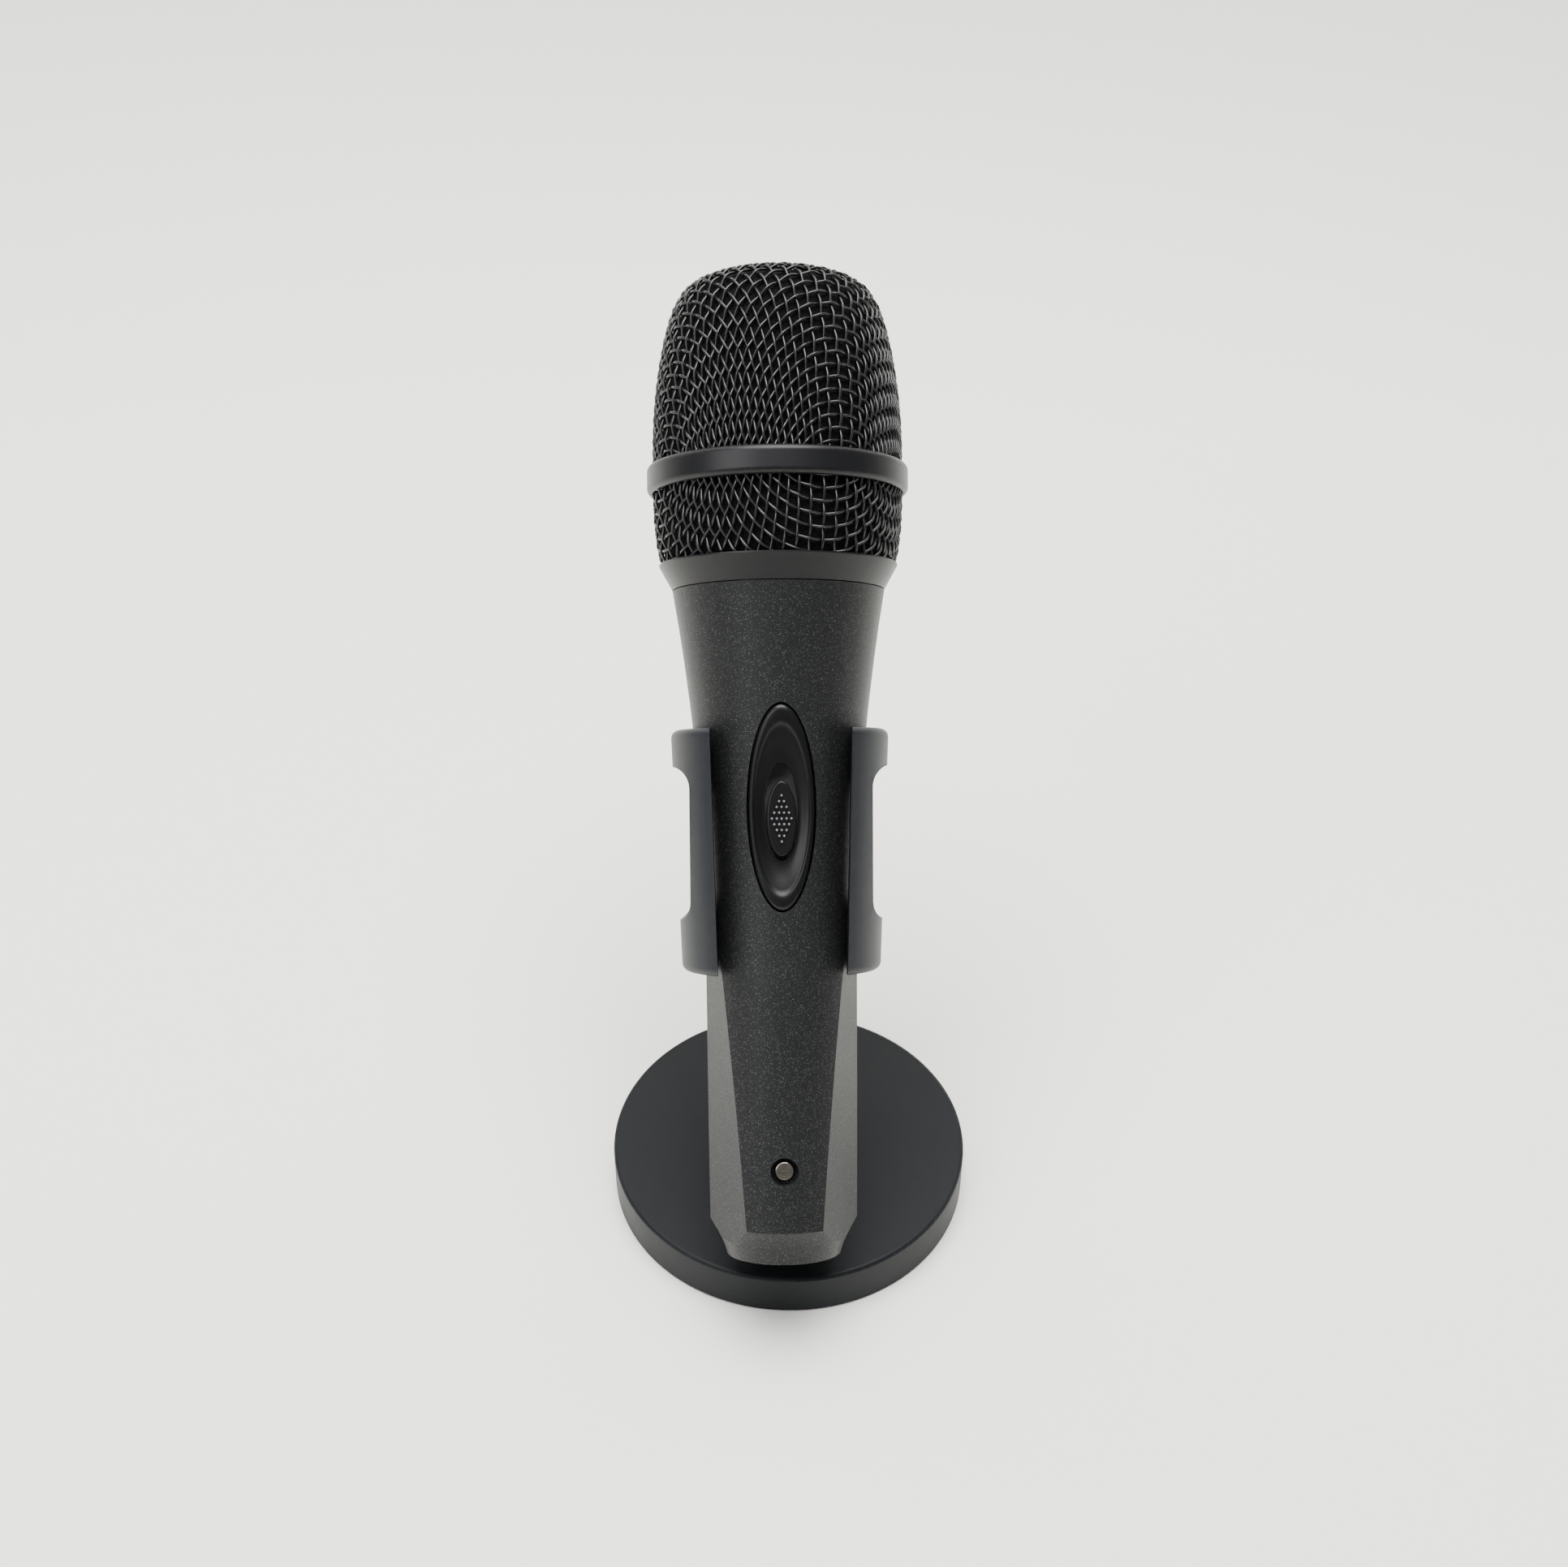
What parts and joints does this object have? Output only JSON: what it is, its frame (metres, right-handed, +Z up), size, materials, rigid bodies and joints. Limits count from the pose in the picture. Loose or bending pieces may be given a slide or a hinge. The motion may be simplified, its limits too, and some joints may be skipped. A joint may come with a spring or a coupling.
{
  "type": "dynamic microphone",
  "caption": "Handheld dynamic microphone with a woven wire head and slide switch, leaning in a spring clip on a weighted round desk stand.",
  "frame": {"origin": "centre of the base's underside, on the desk", "axes": "+Z up, -Y towards the switch side, +X to the right of the switch side, the microphone leans back towards +Y"},
  "size_m": [0.076, 0.1397, 0.1805],
  "materials": {
    "base_paint": "satin",
    "ballast_iron": "rough",
    "pad_rubber": "matte",
    "stem_steel": "brushed",
    "insert_brass": "satin",
    "clip_plastic": "satin",
    "liner_rubber": "matte",
    "handle_paint": "satin metallic",
    "screw_nickel": "bright",
    "socket_plastic": "matte",
    "contact_silver": "bright",
    "lead_jacket": "gloss",
    "switch_plastic": "satin",
    "module_plastic": "matte",
    "board_green": "gloss",
    "spigot_alloy": "machined",
    "mount_rubber": "matte",
    "yoke_steel": "plated",
    "magnet_steel": "plated",
    "coil_copper": "enamelled",
    "diaphragm_film": "clear film",
    "cap_plastic": "matte",
    "collar_paint": "satin",
    "grille_wire": "satin",
    "foam": "open-cell foam"
  },
  "bodies": {
    "base": {"base_shell": "base_paint", "base_weight": "ballast_iron", "base_pad": "pad_rubber", "stem_post": "stem_steel", "stem_bolt": "stem_steel", "stem_washer": "stem_steel"},
    "swivel": {"swivel_adapter": "clip_plastic", "thread_insert": "insert_brass"},
    "clip": {"clip_body": "clip_plastic", "clip_liner": "liner_rubber", "hinge_bolt": "stem_steel", "hinge_nut": "stem_steel"},
    "microphone": {"handle_shell": "handle_paint", "lock_screw": "screw_nickel", "socket_insert": "socket_plastic", "contact_pins": "contact_silver", "leads": "lead_jacket", "switch_bezel": "switch_plastic", "switch_module": "module_plastic", "switch_board": "board_green", "head_spigot": "spigot_alloy", "shock_mount": "mount_rubber", "capsule_housing": "spigot_alloy", "capsule_spacer": "socket_plastic", "magnet_yoke": "yoke_steel", "magnet": "magnet_steel", "voice_coil": "coil_copper", "diaphragm": "diaphragm_film", "resonator_cap": "cap_plastic"},
    "slider": {"switch_slider": "switch_plastic"},
    "head": {"grille_collar": "collar_paint", "grille_lower": "grille_wire", "grille_band": "collar_paint", "grille_upper": "grille_wire", "foam_windscreen": "foam"}
  },
  "joints": [
    {"name": "stem_swivel", "type": "hinge", "parent": "base", "child": "swivel", "pos_m": [-0.0021, 0.0165, 0.03], "axis": [0, 0, 1], "range_deg": [-180, 180]},
    {"name": "clip_tilt", "type": "hinge", "parent": "swivel", "child": "clip", "pos_m": [-0.0021, 0.0165, 0.0427], "axis": [-0.9998, -0.0223, 0], "range_deg": [0, 35]},
    {"name": "mic_withdraw", "type": "slide", "parent": "clip", "child": "microphone", "axis": [-0.0136, 0.6086, 0.7934], "range_m": [0, 0.11]},
    {"name": "switch_slide", "type": "slide", "parent": "microphone", "child": "slider", "axis": [-0.0136, 0.6086, 0.7934], "range_m": [0, 0.0024]},
    {"name": "head_lift", "type": "slide", "parent": "microphone", "child": "head", "axis": [-0.0136, 0.6086, 0.7934], "range_m": [0, 0.06]}
  ]
}
